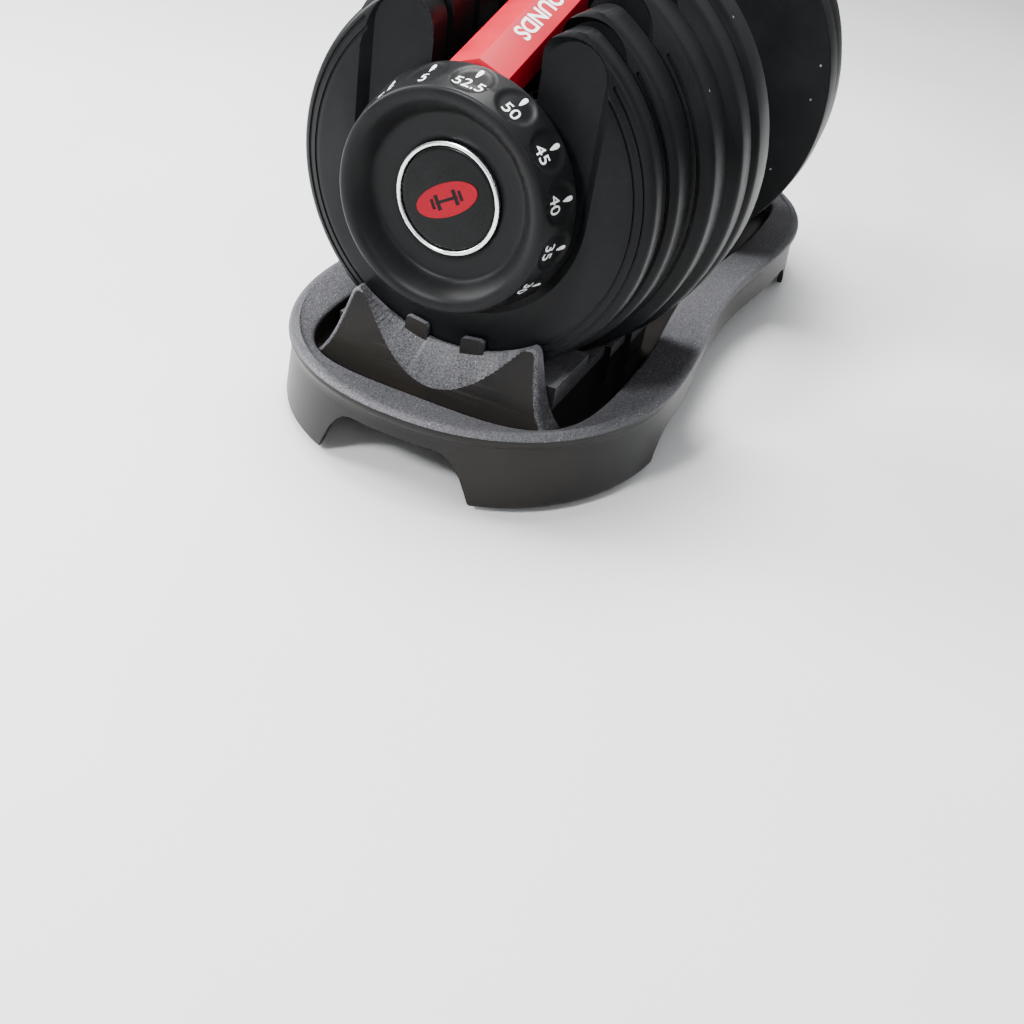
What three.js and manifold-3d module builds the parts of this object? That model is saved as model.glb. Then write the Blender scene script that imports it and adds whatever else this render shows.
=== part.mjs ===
// Adjustable dumbbell resting in its storage tray.
// Millimetres, +Z up, X along the handle, origin on the ground under the middle of the tray.
// The right end is the left end turned half a turn about Z.

import * as THREE from 'three';
import { mergeVertices } from 'three/addons/utils/BufferGeometryUtils.js';
import Module from 'manifold-3d';

const wasm = await Module();
wasm.setup();

// ---- Driving dimensions ----------------------------------------------------------------------

const GAP = 0.3;                 // between pieces that touch on the real object
const AXIS_HEIGHT = 127.5;       // handle axis above the ground
const SETTINGS = 15;             // dial settings, 24 degrees apart
const SETTING_STEP = (2 * Math.PI) / SETTINGS;

// Weight plates of one end, outermost first. span is the distance from the middle of the handle;
// picked lists the dial settings (0 is the heaviest) at which the plate is lifted.
const PLATES = [
  { letter: 'a', radius: 82.5, span: [160, 174.5], picked: [0, 1, 2, 3, 4] },
  { letter: 'b', radius: 86.5, span: [136, 158], picked: [0, 1, 2, 3, 4, 5, 6, 7, 8] },
  { letter: 'c', radius: 94.5, span: [111, 134], picked: [0, 1, 2, 5, 9, 10] },
  { letter: 'd', radius: 99.5, span: [90, 109], picked: [0, 1, 3, 6, 11, 12] },
  { letter: 'e', radius: 101.3, span: [65, 88], picked: [0, 7, 9, 11, 13] },
];
const PLATE = { slot: 24, lobe: 13, chamfer: 1.5, web: 3, arcSteps: 30 };
const TAB = { halfWidth: 3.5, low: -16.4, high: -13, floorGap: 3.6 };
const WEB = { halfWidth: 16, low: -28, high: -13 };

const SHAFT = { radius: 7, end: 188.5 };
const TUBE = { inner: 7.3, outer: 12.5, end: 57 };
const GRIP = {
  inner: 12.8, end: 49.7, waist: 14.8, swell: 17.2, endRound: 1.6, rings: [49.7, 47.5, 38, 26, 13],
};
const SLEEVE = { inner: 7.4, outer: 12, start: 57.2, end: 181.3 };
const LOCK_RING = { outer: 22, inner: 19, notches: 60, width: 3.2 };
const DRUM = { inner: 17.8, outer: 22.4, floor: 2.5, play: 0.4, bore: 12.3 };

const DIAL = {
  back: 178, front: 200, frontRadius: 46.8, backRadius: 51.7, waist: [49.2, 191], steps: 24,
  lip: 3, lipFall: 1.6, dishRim: 7, dishRadius: 34, dish: 190, seat: 189.9, capSeat: 188.5,
  hollow: 43, hollowEnd: 186, sleeveWall: 19, nutWell: 17.4, nutFloor: 181.6,
};
const CAP = { radius: 21.4, back: 188.9, front: 191.6, edge: 1.4, edgeFall: 0.9, dome: 0.6 };
const CAP_RING = { inner: 21.7, outer: 23.8, back: 190.3, front: 192.4, bevel: 0.7 };
const NUT = { flats: 10, start: 183.2, end: 188.4 };
const WASHER = { inner: 7.3, outer: 16.8, start: 181.6, end: 182.9 };

const HUB = { start: 50, end: 61.5, radius: 40, top: 78, halfWidth: 9.8, cavity: 56.8, slots: 53.2 };
const HUB_COVER = { start: 61.8, end: 64.2, bore: 12.4, radius: 38 };
const SUPPORT = { start: 175.1, end: 177.4, radius: 22, halfWidth: 9.5, top: 42 };
const BRIDGE = {
  start: 50.2, end: 177.4, wall: 3, halfWidth: 13.5,
  ridgeStart: 93, ridgeEnd: 54, eaves: 5, skirt: 12,
};

const SLIDER = {
  start: 57.4, end: 60.2, halfWidth: 27, top: 30, bottom: -27.5,
  hole: 22.9, holeTop: 26.4, toothTip: 22.5, toothHalf: 0.9, tailHalf: 4, tail: -34, travel: 4,
};
const SPRING = { radius: 3, wire: 0.6, start: 30.4, end: 43.4, turns: 4, stepsPerTurn: 8, reach: 57.3 };

const TRAY = {
  bottom: 3, lip: 41, floor: 26, underside: 22.5, wall: 3.2,
  straight: 110, endReach: 114, halfWidth: 98, waist: 90, power: 2.2,
  rimEnd: 27, rimSide: 24,
};
const ARCH = {
  endBottom: 40, endTop: 22, endHeight: 28, kneeIn: 6, kneeFall: 9,
  sideBottom: 132, sideTop: 112, sideHeight: 19, sideDepth: 40,
};
const CRADLE = {
  halfWidth: 56, clearance: 0.8, outerTop: 51, innerTop: 45,
  divider: 1.2, dividerTop: 60, dividerBase: 40, dividerCrest: 34,
};
const SADDLE = {
  back: 175.6, front: 190, halfWidth: 47, base: 53, crest: 39, top: 69, shoulder: 8,
  seat: 73, scoop: 96, lipDepth: 3, tabInner: 8, tabOuter: 20, tabRise: 6, tab: 2.4,
};
const FOOT = { x: 178, y: 58, radius: 11, boss: 14, height: 2.7 };
const POST = { radius: 3, top: 93.1, reach: 58.2 };

// ---- Finishes --------------------------------------------------------------------------------

const FINISH = {
  plate: [0x1d1e20, 0.55, 0.1],
  tray: [0x34353a, 0.6, 0.0],
  dial: [0x17181a, 0.45, 0.0],
  cap: [0x0e0e10, 0.3, 0.0],
  silver: [0xcfd2d6, 0.25, 1.0],
  red: [0xc8102a, 0.4, 0.0],
  steel: [0x9a9da1, 0.35, 1.0],
  rubber: [0x101012, 0.85, 0.0],
  hub: [0x202226, 0.55, 0.0],
};

function finish(kind) {
  const [color, roughness, metalness] = FINISH[kind];
  return new THREE.MeshStandardMaterial({ color, roughness, metalness });
}

// ---- Solids ----------------------------------------------------------------------------------

function solid(geometry) {
  geometry.deleteAttribute('normal');
  geometry.deleteAttribute('uv');
  const merged = mergeVertices(geometry, 1e-4);
  return new wasm.Manifold(new wasm.Mesh({
    numProp: 3,
    vertProperties: new Float32Array(merged.attributes.position.array),
    triVerts: new Uint32Array(merged.index.array),
  }));
}

function surface(body) {
  const mesh = body.getMesh();
  const geometry = new THREE.BufferGeometry();
  geometry.setAttribute('position', new THREE.BufferAttribute(mesh.vertProperties, 3));
  geometry.setIndex(new THREE.BufferAttribute(mesh.triVerts, 1));
  geometry.computeVertexNormals();
  return geometry;
}

function arc(cx, cy, radius, from, to, steps) {
  return Array.from({ length: steps + 1 }, (_, i) => {
    const angle = from + ((to - from) * i) / steps;
    return new THREE.Vector2(cx + radius * Math.cos(angle), cy + radius * Math.sin(angle));
  });
}

function polygon(pairs) {
  return pairs.map(([x, y]) => new THREE.Vector2(x, y));
}

function rectangle(x0, x1, y0, y1) {
  return polygon([[x0, y0], [x1, y0], [x1, y1], [x0, y1]]);
}

function disc(radius, steps = 32) {
  return arc(0, 0, radius, 0, 2 * Math.PI, steps).slice(0, steps);
}

// An outline in (Y, Z) about the handle axis, drawn out along X between two distances from the
// middle of the handle on the left end, where X is negative.
function slab(outline, near, far, holes = [], bevel = 0) {
  const shape = new THREE.Shape(outline);
  holes.forEach((hole) => shape.holes.push(new THREE.Path(hole)));
  const geometry = new THREE.ExtrudeGeometry(shape, {
    depth: far - near - 2 * bevel,
    bevelEnabled: bevel > 0,
    bevelThickness: bevel,
    bevelSize: bevel,
    bevelOffset: -bevel,
    bevelSegments: 1,
  });
  geometry.translate(0, 0, -far + bevel);
  const turn = new THREE.Matrix4().makeBasis(
    new THREE.Vector3(0, 1, 0), new THREE.Vector3(0, 0, 1), new THREE.Vector3(1, 0, 0));
  return solid(geometry.applyMatrix4(turn));
}

// An outline in (X, Y) drawn upwards between two heights.
function column(outline, low, high) {
  const shape = new THREE.Shape(outline);
  const geometry = new THREE.ExtrudeGeometry(shape, { depth: high - low, bevelEnabled: false });
  geometry.translate(0, 0, low);
  return solid(geometry);
}

// A closed profile of [radius, distance from the middle] pairs turned about the handle axis,
// on the left end.
function turned(profile, steps = 24) {
  const points = profile.map(([radius, reach]) => new THREE.Vector2(radius, -reach));
  if (THREE.ShapeUtils.area(points) < 0) points.reverse();
  const onAxis = points.filter((p) => p.x === 0).map((p) => p.y);
  if (onAxis.length === 0) {
    points.push(points[0].clone());
  } else {
    const low = Math.min(...onAxis);
    while (points[0].x !== 0 || points[0].y !== low) points.push(points.shift());
  }
  const geometry = new THREE.LatheGeometry(points, steps);
  geometry.rotateZ(-Math.PI / 2);
  return solid(geometry);
}

function joined(bodies) {
  return bodies.reduce((sum, body) => sum.add(body));
}

// ---- Dumbbell pieces (about the handle axis, left end) ---------------------------------------

function plateOutline(radius) {
  const centreY = PLATE.slot + PLATE.lobe;
  const reach = radius - PLATE.lobe;
  const centreZ = Math.sqrt(reach * reach - centreY * centreY);
  const tilt = Math.atan2(centreZ, centreY);
  return [
    ...arc(0, 0, radius, Math.PI - tilt, 2 * Math.PI + tilt, PLATE.arcSteps),
    ...arc(centreY, centreZ, PLATE.lobe, tilt, Math.PI, 5).slice(1),
    ...arc(0, 0, PLATE.slot, 0, -Math.PI, 10),
    ...arc(-centreY, centreZ, PLATE.lobe, 0, Math.PI - tilt, 5).slice(0, -1),
  ];
}

function weightPlate({ radius, span: [near, far] }) {
  const body = slab(plateOutline(radius), near, far, [], PLATE.chamfer);
  const web = slab(rectangle(-WEB.halfWidth, WEB.halfWidth, WEB.low, WEB.high), near, near + PLATE.web);
  const tab = slab(
    rectangle(-TAB.halfWidth, TAB.halfWidth, TAB.low, TAB.high), near + 1, far - TAB.floorGap);
  return joined([body, web, tab]);
}

// A cup round the sleeve. Its rim stands only at the settings that lift the plate, and the
// plate's tab lies inside the rim, at the bottom.
function selectorDrum({ span: [near, far], picked }) {
  const mouth = near + PLATE.web + DRUM.play;
  const back = far - DRUM.play;
  const floorNear = back - DRUM.floor;
  const floor = slab(disc(DRUM.outer, SETTINGS), floorNear, back, [disc(DRUM.bore, 16).reverse()]);
  const rims = [];
  let run = [];
  const close = () => {
    if (run.length === 0) return;
    const from = -Math.PI / 2 + (run[0] - 0.5) * SETTING_STEP;
    const to = -Math.PI / 2 + (run[run.length - 1] + 0.5) * SETTING_STEP;
    const sides = run.length;
    rims.push(slab([
      ...arc(0, 0, DRUM.outer, from, to, sides),
      ...arc(0, 0, DRUM.inner, to, from, sides),
    ], mouth, floorNear + 0.5));
    run = [];
  };
  picked.forEach((setting) => {
    if (run.length && setting !== run[run.length - 1] + 1) close();
    run.push(setting);
  });
  close();
  return joined([floor, ...rims]);
}

function selectorSleeve() {
  const pipe = turned([
    [SLEEVE.inner, SLEEVE.start], [SLEEVE.outer, SLEEVE.start],
    [SLEEVE.outer, SLEEVE.end], [SLEEVE.inner, SLEEVE.end],
  ]);
  const half = Math.PI / LOCK_RING.notches;
  const teeth = [];
  for (let i = 0; i < LOCK_RING.notches; i += 1) {
    const valley = Math.PI / 2 + 2 * half * i;
    teeth.push(
      new THREE.Vector2(LOCK_RING.inner * Math.cos(valley), LOCK_RING.inner * Math.sin(valley)),
      new THREE.Vector2(
        LOCK_RING.outer * Math.cos(valley + half), LOCK_RING.outer * Math.sin(valley + half)),
    );
  }
  const ring = slab(
    teeth, SLEEVE.start, SLEEVE.start + LOCK_RING.width, [disc(SLEEVE.inner + 2, 24).reverse()]);
  return joined([pipe, ring]);
}

function dial() {
  const bore = SLEEVE.outer + GAP;
  const rimBack = [[DIAL.hollow + 2.5, DIAL.back + 0.5], [DIAL.backRadius, DIAL.back]];
  const lip = [
    [DIAL.frontRadius, DIAL.front - DIAL.lipFall + 0.2], [DIAL.frontRadius - DIAL.lip, DIAL.front],
    [DIAL.frontRadius - DIAL.dishRim, DIAL.front - DIAL.lipFall],
  ];
  return turned([
    [bore, DIAL.back], [DIAL.sleeveWall, DIAL.back], [DIAL.sleeveWall, DIAL.hollowEnd],
    [DIAL.hollow, DIAL.hollowEnd], ...rimBack, DIAL.waist, ...lip, [DIAL.dishRadius, DIAL.dish],
    [CAP_RING.inner, DIAL.seat], [CAP_RING.inner, DIAL.capSeat], [DIAL.nutWell, DIAL.capSeat],
    [DIAL.nutWell, DIAL.nutFloor], [bore, DIAL.nutFloor],
  ], DIAL.steps);
}

function dialCap() {
  return turned([
    [0, CAP.back], [CAP.radius, CAP.back], [CAP.radius, CAP.front - CAP.edgeFall],
    [CAP.radius - CAP.edge, CAP.front], [0, CAP.front + CAP.dome],
  ]);
}

function capRing() {
  return turned([
    [CAP_RING.inner, CAP_RING.back], [CAP_RING.outer, CAP_RING.back],
    [CAP_RING.outer, CAP_RING.front - CAP_RING.bevel],
    [CAP_RING.outer - CAP_RING.bevel, CAP_RING.front],
    [CAP_RING.inner, CAP_RING.front],
  ]);
}

function hubOutline(radius, top, halfWidth) {
  const side = Math.asin(halfWidth / radius);
  return [
    ...arc(0, 0, radius, Math.PI / 2 + side, 2.5 * Math.PI - side, 28),
    new THREE.Vector2(halfWidth, top),
    new THREE.Vector2(-halfWidth, top),
  ];
}

// Carries the handle tube, the lock slider and the inner end of the bridge cover.
function innerHub() {
  const block = slab(hubOutline(HUB.radius, HUB.top, HUB.halfWidth), HUB.start, HUB.end);
  const tubeBore = slab(disc(TUBE.outer + GAP, 24), HUB.start - 1, HUB.end + 1);
  const sliderWay = slab(
    rectangle(
      -SLIDER.halfWidth - GAP, SLIDER.halfWidth + GAP,
      SLIDER.bottom - SLIDER.travel, SLIDER.top + GAP),
    HUB.cavity, HUB.end + 1);
  const springWay = slab(
    rectangle(-SPRING.radius - 1, SPRING.radius + 1, SLIDER.top, SPRING.end + GAP), HUB.slots, HUB.end + 1);
  const tailWay = slab(
    rectangle(-SLIDER.tailHalf - 1, SLIDER.tailHalf + 1, -HUB.radius - 1, SLIDER.bottom),
    HUB.slots, HUB.end + 1);
  return block.subtract(tubeBore).subtract(sliderWay).subtract(springWay).subtract(tailWay);
}

function hubCover() {
  return slab(
    hubOutline(HUB_COVER.radius, HUB.top - 2, HUB.halfWidth - 1), HUB_COVER.start, HUB_COVER.end,
    [disc(HUB_COVER.bore, 24).reverse()]);
}

// The flat bracket between the outermost plate and the dial.
function outerSupport() {
  return slab(
    hubOutline(SUPPORT.radius, SUPPORT.top, SUPPORT.halfWidth), SUPPORT.start, SUPPORT.end,
    [disc(SLEEVE.outer + GAP, 24).reverse()]);
}

// A sloping roof over the plates' slots: a ridge, two facets and two short skirts, lofted between
// its low outer end and its high inner end.
function bridgeSection(reach, ridge, inset) {
  const width = BRIDGE.halfWidth - inset;
  const eaves = ridge - BRIDGE.eaves;
  const foot = eaves - BRIDGE.skirt;
  const low = inset > 0 ? foot - 1 : foot;
  return [[width, low], [width, eaves - inset], [0, ridge - inset], [-width, eaves - inset], [-width, low]]
    .map(([y, z]) => new THREE.Vector3(-reach, y, z));
}

// The first section faces the middle of the handle; both run anticlockwise seen from there.
function loft(first, last) {
  const count = first.length;
  const positions = [...first, ...last].flatMap((p) => [p.x, p.y, p.z]);
  const faces = [];
  for (let i = 0; i < count; i += 1) {
    const next = (i + 1) % count;
    faces.push(i, count + i, next, next, count + i, count + next);
  }
  const flat = first.map((p) => new THREE.Vector2(p.y, p.z));
  THREE.ShapeUtils.triangulateShape(flat, []).forEach(([a, b, c]) => {
    faces.push(a, b, c, count + c, count + b, count + a);
  });
  const geometry = new THREE.BufferGeometry();
  geometry.setAttribute('position', new THREE.Float32BufferAttribute(positions, 3));
  geometry.setIndex(faces);
  return solid(geometry);
}

function bridgeCover() {
  const slope = (BRIDGE.ridgeStart - BRIDGE.ridgeEnd) / (BRIDGE.end - BRIDGE.start);
  const ridgeAt = (reach) => BRIDGE.ridgeEnd + (BRIDGE.end - reach) * slope;
  const outside = loft(
    bridgeSection(BRIDGE.start, ridgeAt(BRIDGE.start), 0),
    bridgeSection(BRIDGE.end, ridgeAt(BRIDGE.end), 0));
  const innerNear = BRIDGE.start + BRIDGE.wall;
  const innerFar = BRIDGE.end + 1;
  const inside = loft(
    bridgeSection(innerNear, ridgeAt(innerNear), BRIDGE.wall),
    bridgeSection(innerFar, ridgeAt(innerFar), BRIDGE.wall));
  const hubSeat = slab(
    rectangle(-HUB.halfWidth - GAP, HUB.halfWidth + GAP, 0, HUB.top + GAP),
    HUB.start - 1, HUB_COVER.end + GAP);
  const supportSeat = slab(
    rectangle(-SUPPORT.halfWidth - GAP, SUPPORT.halfWidth + GAP, 0, SUPPORT.top + GAP),
    SUPPORT.start - GAP, SUPPORT.end + 1);
  return outside.subtract(inside).subtract(hubSeat).subtract(supportSeat);
}

function lockSlider() {
  const frame = slab(
    rectangle(-SLIDER.halfWidth, SLIDER.halfWidth, SLIDER.bottom, SLIDER.top), SLIDER.start, SLIDER.end,
    [[
      ...arc(0, 0, SLIDER.hole, -Math.PI, 0, 16),
      new THREE.Vector2(SLIDER.hole, SLIDER.holeTop),
      new THREE.Vector2(SLIDER.toothHalf, SLIDER.holeTop),
      new THREE.Vector2(0, SLIDER.toothTip),
      new THREE.Vector2(-SLIDER.toothHalf, SLIDER.holeTop),
      new THREE.Vector2(-SLIDER.hole, SLIDER.holeTop),
    ].reverse()]);
  const tail = slab(
    rectangle(-SLIDER.tailHalf, SLIDER.tailHalf, SLIDER.tail, SLIDER.bottom + 1), SLIDER.start, SLIDER.end);
  return frame.add(tail);
}

// ---- Pieces on the whole handle --------------------------------------------------------------

function bothEnds(profile, steps) {
  const mirrored = profile.map(([radius, reach]) => [radius, -reach]).reverse();
  return turned([...profile, ...mirrored], steps);
}

function gripBody() {
  const swell = GRIP.rings.map((reach) => {
    const along = reach / GRIP.end;
    const radius = GRIP.waist + (GRIP.swell - GRIP.waist) * (0.5 + 0.5 * Math.cos(2 * Math.PI * along));
    return [reach === GRIP.end ? radius - GRIP.endRound : radius, reach];
  });
  return bothEnds([[GRIP.inner, GRIP.end], ...swell], 24);
}

function coilSpring() {
  const steps = SPRING.turns * SPRING.stepsPerTurn;
  const points = Array.from({ length: steps + 1 }, (_, i) => {
    const angle = (2 * Math.PI * i * SPRING.turns) / steps;
    return new THREE.Vector3(
      SPRING.radius * Math.cos(angle), SPRING.radius * Math.sin(angle),
      SPRING.start + SPRING.wire + ((SPRING.end - SPRING.start - 2 * SPRING.wire) * i) / steps);
  });
  const section = new THREE.Shape(disc(SPRING.wire, 4));
  return new THREE.ExtrudeGeometry(section, {
    steps, bevelEnabled: false, extrudePath: new THREE.CatmullRomCurve3(points),
  });
}

// ---- Tray ------------------------------------------------------------------------------------

function trayOutline(insetEnd, insetSide, quarterSteps = 9, sideSteps = 6) {
  const reach = TRAY.endReach - insetEnd;
  const width = TRAY.halfWidth - insetSide;
  const waist = TRAY.waist - insetSide;
  const quarter = [];
  for (let i = 0; i < sideSteps; i += 1) {
    const x = (TRAY.straight * i) / sideSteps;
    const rise = 0.5 - 0.5 * Math.cos((Math.PI * x) / TRAY.straight);
    quarter.push([x, waist + (width - waist) * rise]);
  }
  for (let i = 0; i <= quarterSteps; i += 1) {
    const angle = ((Math.PI / 2) * i) / quarterSteps;
    const x = TRAY.straight + reach * Math.sin(angle) ** (2 / TRAY.power);
    quarter.push([x, i === quarterSteps ? 0 : width * Math.cos(angle) ** (2 / TRAY.power)]);
  }
  const down = quarter.slice(0, -1).reverse();
  const right = [...quarter, ...down.map(([x, y]) => [x, -y])];
  const left = right.slice(1, -1).map(([x, y]) => [-x, -y]);
  return polygon([...right, ...left]).reverse();
}

function cradle(side) {
  const blocks = PLATES.map(({ letter, radius, span: [near, far] }) => {
    const top = letter === 'a' || letter === 'b' ? CRADLE.outerTop : CRADLE.innerTop;
    const block = slab(
      rectangle(-CRADLE.halfWidth, CRADLE.halfWidth, TRAY.floor - 1 - AXIS_HEIGHT, top - AXIS_HEIGHT),
      near - 1, far + (letter === 'a' ? 0.7 : 1));
    const seat = slab(disc(radius + CRADLE.clearance, 48), near - 2, far + 2);
    return block.subtract(seat);
  });
  const dividers = PLATES.slice(1).map(({ span: [, far] }) => {
    const middle = far + 1;
    const half = CRADLE.divider / 2;
    return slab(
      polygon([
        [-CRADLE.dividerBase, TRAY.floor - AXIS_HEIGHT], [CRADLE.dividerBase, TRAY.floor - AXIS_HEIGHT],
        [CRADLE.dividerCrest, CRADLE.dividerTop - AXIS_HEIGHT],
        [-CRADLE.dividerCrest, CRADLE.dividerTop - AXIS_HEIGHT],
      ]), middle - half, middle + half);
  });
  return joined([...blocks, ...dividers, saddle()]).rotate([0, 0, side === 'left' ? 0 : 180]);
}

// The dial's seat: a block with a round hollow between two horns, a front that is scooped away
// below the hollow, and two small tabs on its edge.
function saddle() {
  const foot = TRAY.floor - 1 - AXIS_HEIGHT;
  const top = SADDLE.top - AXIS_HEIGHT;
  const block = slab(
    polygon([
      [-SADDLE.base, foot], [SADDLE.base, foot], [SADDLE.halfWidth, top - SADDLE.shoulder],
      [SADDLE.halfWidth - 2, top], [SADDLE.crest, top], [-SADDLE.crest, top],
      [-SADDLE.halfWidth + 2, top], [-SADDLE.halfWidth, top - SADDLE.shoulder],
    ]), SADDLE.back, SADDLE.front);
  const seat = slab(disc(SADDLE.seat, 48), SADDLE.back - 1, SADDLE.front + 1);
  const scoop = turned([
    [0, SADDLE.back + SADDLE.lipDepth], [SADDLE.seat, SADDLE.back + SADDLE.lipDepth],
    [SADDLE.scoop, SADDLE.front + 0.5], [0, SADDLE.front + 0.5],
  ], 48);
  const tabTop = SADDLE.seat - SADDLE.tabRise;
  const tab = slab(
    rectangle(SADDLE.tabInner, SADDLE.tabOuter, -SADDLE.seat - 4, 3 - tabTop),
    SADDLE.back, SADDLE.back + SADDLE.tab)
    .subtract(slab(disc(tabTop, 48), SADDLE.back - 1, SADDLE.front));
  return joined([block.subtract(seat).subtract(scoop), tab, tab.mirror([0, 1, 0])]);
}

function tray() {
  const block = column(trayOutline(0, 0), TRAY.bottom, TRAY.lip);
  const hollow = column(trayOutline(TRAY.wall, TRAY.wall), TRAY.bottom - 1, TRAY.underside);
  const basin = column(trayOutline(TRAY.rimEnd, TRAY.rimSide), TRAY.floor, TRAY.lip + 1);
  const bosses = [-1, 1].flatMap((sx) => [-1, 1].map((sy) => column(
    arc(sx * FOOT.x, sy * FOOT.y, FOOT.boss, 0, 2 * Math.PI, 20).slice(0, 20),
    TRAY.bottom, TRAY.underside + 1)));
  const knee = [ARCH.endBottom - ARCH.kneeIn, ARCH.endHeight - ARCH.kneeFall];
  const tip = TRAY.straight + TRAY.endReach;
  const endArch = slab(
    polygon([
      [-ARCH.endBottom, -1], [ARCH.endBottom, -1], knee, [ARCH.endTop, ARCH.endHeight],
      [-ARCH.endTop, ARCH.endHeight], [-knee[0], knee[1]],
    ]), tip - TRAY.rimEnd + 1, tip + 1);
  const sideArch = solid(new THREE.ExtrudeGeometry(new THREE.Shape(polygon([
    [-ARCH.sideBottom, 0], [ARCH.sideBottom, 0],
    [ARCH.sideTop, ARCH.sideHeight], [-ARCH.sideTop, ARCH.sideHeight],
  ])), { depth: ARCH.sideDepth, bevelEnabled: false })
    .rotateX(Math.PI / 2))
    .translate([0, TRAY.halfWidth + 1, 0]);
  const ends = ['left', 'right'].map((side) => cradle(side).translate([0, 0, AXIS_HEIGHT]));
  return joined([block.subtract(hollow).subtract(basin), ...bosses, ...ends])
    .subtract(endArch)
    .subtract(endArch.rotate([0, 0, 180]))
    .subtract(sideArch)
    .subtract(sideArch.rotate([0, 0, 180]));
}

// ---- Assembly --------------------------------------------------------------------------------

const dumbbell = new THREE.Group();

function add(parent, name, geometry, kind) {
  const mesh = new THREE.Mesh(geometry, finish(kind));
  mesh.name = name;
  parent.add(mesh);
  return mesh;
}

add(dumbbell, 'tray', surface(tray()), 'tray');
[['front', -1], ['rear', 1]].forEach(([end, sy]) => {
  [['left', -1], ['right', 1]].forEach(([side, sx]) => {
    const foot = column(disc(FOOT.radius, 20), 0, FOOT.height);
    add(dumbbell, `${side}_${end}_foot`, surface(foot), 'rubber')
      .position.set(sx * FOOT.x, sy * FOOT.y, 0);
  });
});

const axis = new THREE.Group();
axis.position.z = AXIS_HEIGHT;
dumbbell.add(axis);

add(axis, 'tie_shaft', surface(bothEnds([[0, SHAFT.end], [SHAFT.radius, SHAFT.end]], 28)), 'steel');
add(axis, 'handle_tube', surface(bothEnds([[TUBE.inner, TUBE.end], [TUBE.outer, TUBE.end]], 28)), 'steel');
add(axis, 'grip', surface(gripBody()), 'rubber');

['left', 'right'].forEach((side) => {
  const end = new THREE.Group();
  end.rotation.z = side === 'left' ? 0 : Math.PI;
  axis.add(end);
  const put = (name, geometry, kind) => add(end, `${side}_${name}`, geometry, kind);

  put('inner_hub', surface(innerHub()), 'hub');
  put('hub_cover', surface(hubCover()), 'hub');
  put('bridge_cover', surface(bridgeCover()), 'red');
  put('outer_support', surface(outerSupport()), 'hub');
  put('washer', surface(turned([
    [WASHER.inner, WASHER.start], [WASHER.outer, WASHER.start],
    [WASHER.outer, WASHER.end], [WASHER.inner, WASHER.end],
  ], 20)), 'steel');
  put('end_nut', surface(slab(disc(NUT.flats / Math.cos(Math.PI / 6), 6), NUT.start, NUT.end,
    [disc(SHAFT.radius + GAP, 28).reverse()])), 'steel');

  put('selector_sleeve', surface(selectorSleeve()), 'hub');
  PLATES.forEach((plate) => {
    put(`selector_drum_${plate.letter}`, surface(selectorDrum(plate)), 'hub');
    put(`plate_${plate.letter}`, surface(weightPlate(plate)), 'plate');
  });
  put('dial', surface(dial()), 'dial');
  put('dial_cap', surface(dialCap()), 'cap');
  put('cap_ring', surface(capRing()), 'silver');

  put('lock_slider', surface(lockSlider()), 'steel');
  put('lock_spring', coilSpring(), 'steel').position.x = -SPRING.reach;
  const post = column(disc(POST.radius, 16), TRAY.floor + GAP - AXIS_HEIGHT, POST.top - AXIS_HEIGHT);
  put('release_post', surface(post), 'tray').position.x = -POST.reach;
});

export default dumbbell;
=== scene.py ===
"""Looks for an adjustable dumbbell in its storage tray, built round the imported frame."""

import math

import bmesh
import bpy
from bpy.props import FloatProperty, FloatVectorProperty, IntProperty, PointerProperty, StringProperty
from mathutils import Matrix, Vector


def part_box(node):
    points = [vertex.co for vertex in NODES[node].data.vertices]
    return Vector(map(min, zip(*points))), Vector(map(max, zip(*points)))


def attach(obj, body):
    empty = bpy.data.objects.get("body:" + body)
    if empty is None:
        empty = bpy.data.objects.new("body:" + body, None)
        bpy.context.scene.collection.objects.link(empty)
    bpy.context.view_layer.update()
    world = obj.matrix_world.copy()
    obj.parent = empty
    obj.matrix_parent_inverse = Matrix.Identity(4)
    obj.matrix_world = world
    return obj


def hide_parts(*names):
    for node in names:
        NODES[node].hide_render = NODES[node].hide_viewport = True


bl_info = {
    "name": "Adjustable Dumbbell",
    "version": (1, 0, 0),
    "blender": (4, 5, 0),
    "location": "View3D > Sidebar > Dumbbell",
    "description": "Builds the visible pieces and finishes of an adjustable dumbbell and its tray",
    "category": "Object",
}

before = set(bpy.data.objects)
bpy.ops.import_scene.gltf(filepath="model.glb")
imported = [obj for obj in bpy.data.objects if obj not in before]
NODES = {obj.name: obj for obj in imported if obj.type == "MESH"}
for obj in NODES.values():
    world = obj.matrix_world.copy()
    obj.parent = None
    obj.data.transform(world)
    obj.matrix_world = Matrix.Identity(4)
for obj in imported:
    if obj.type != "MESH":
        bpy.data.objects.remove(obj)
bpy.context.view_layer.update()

MM = 0.001
TURN = 2 * math.pi
SIDES = ("left", "right")
AXIS_Z = sum(corner.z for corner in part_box("tie_shaft")) / 2
SETTINGS = ("52.5", "50", "45", "40", "35", "30", "25", "22.5", "20", "17.5", "15", "12.5", "10", "7.5", "5")


# ---- Sizes and colours a user may change -------------------------------------------------------


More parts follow.
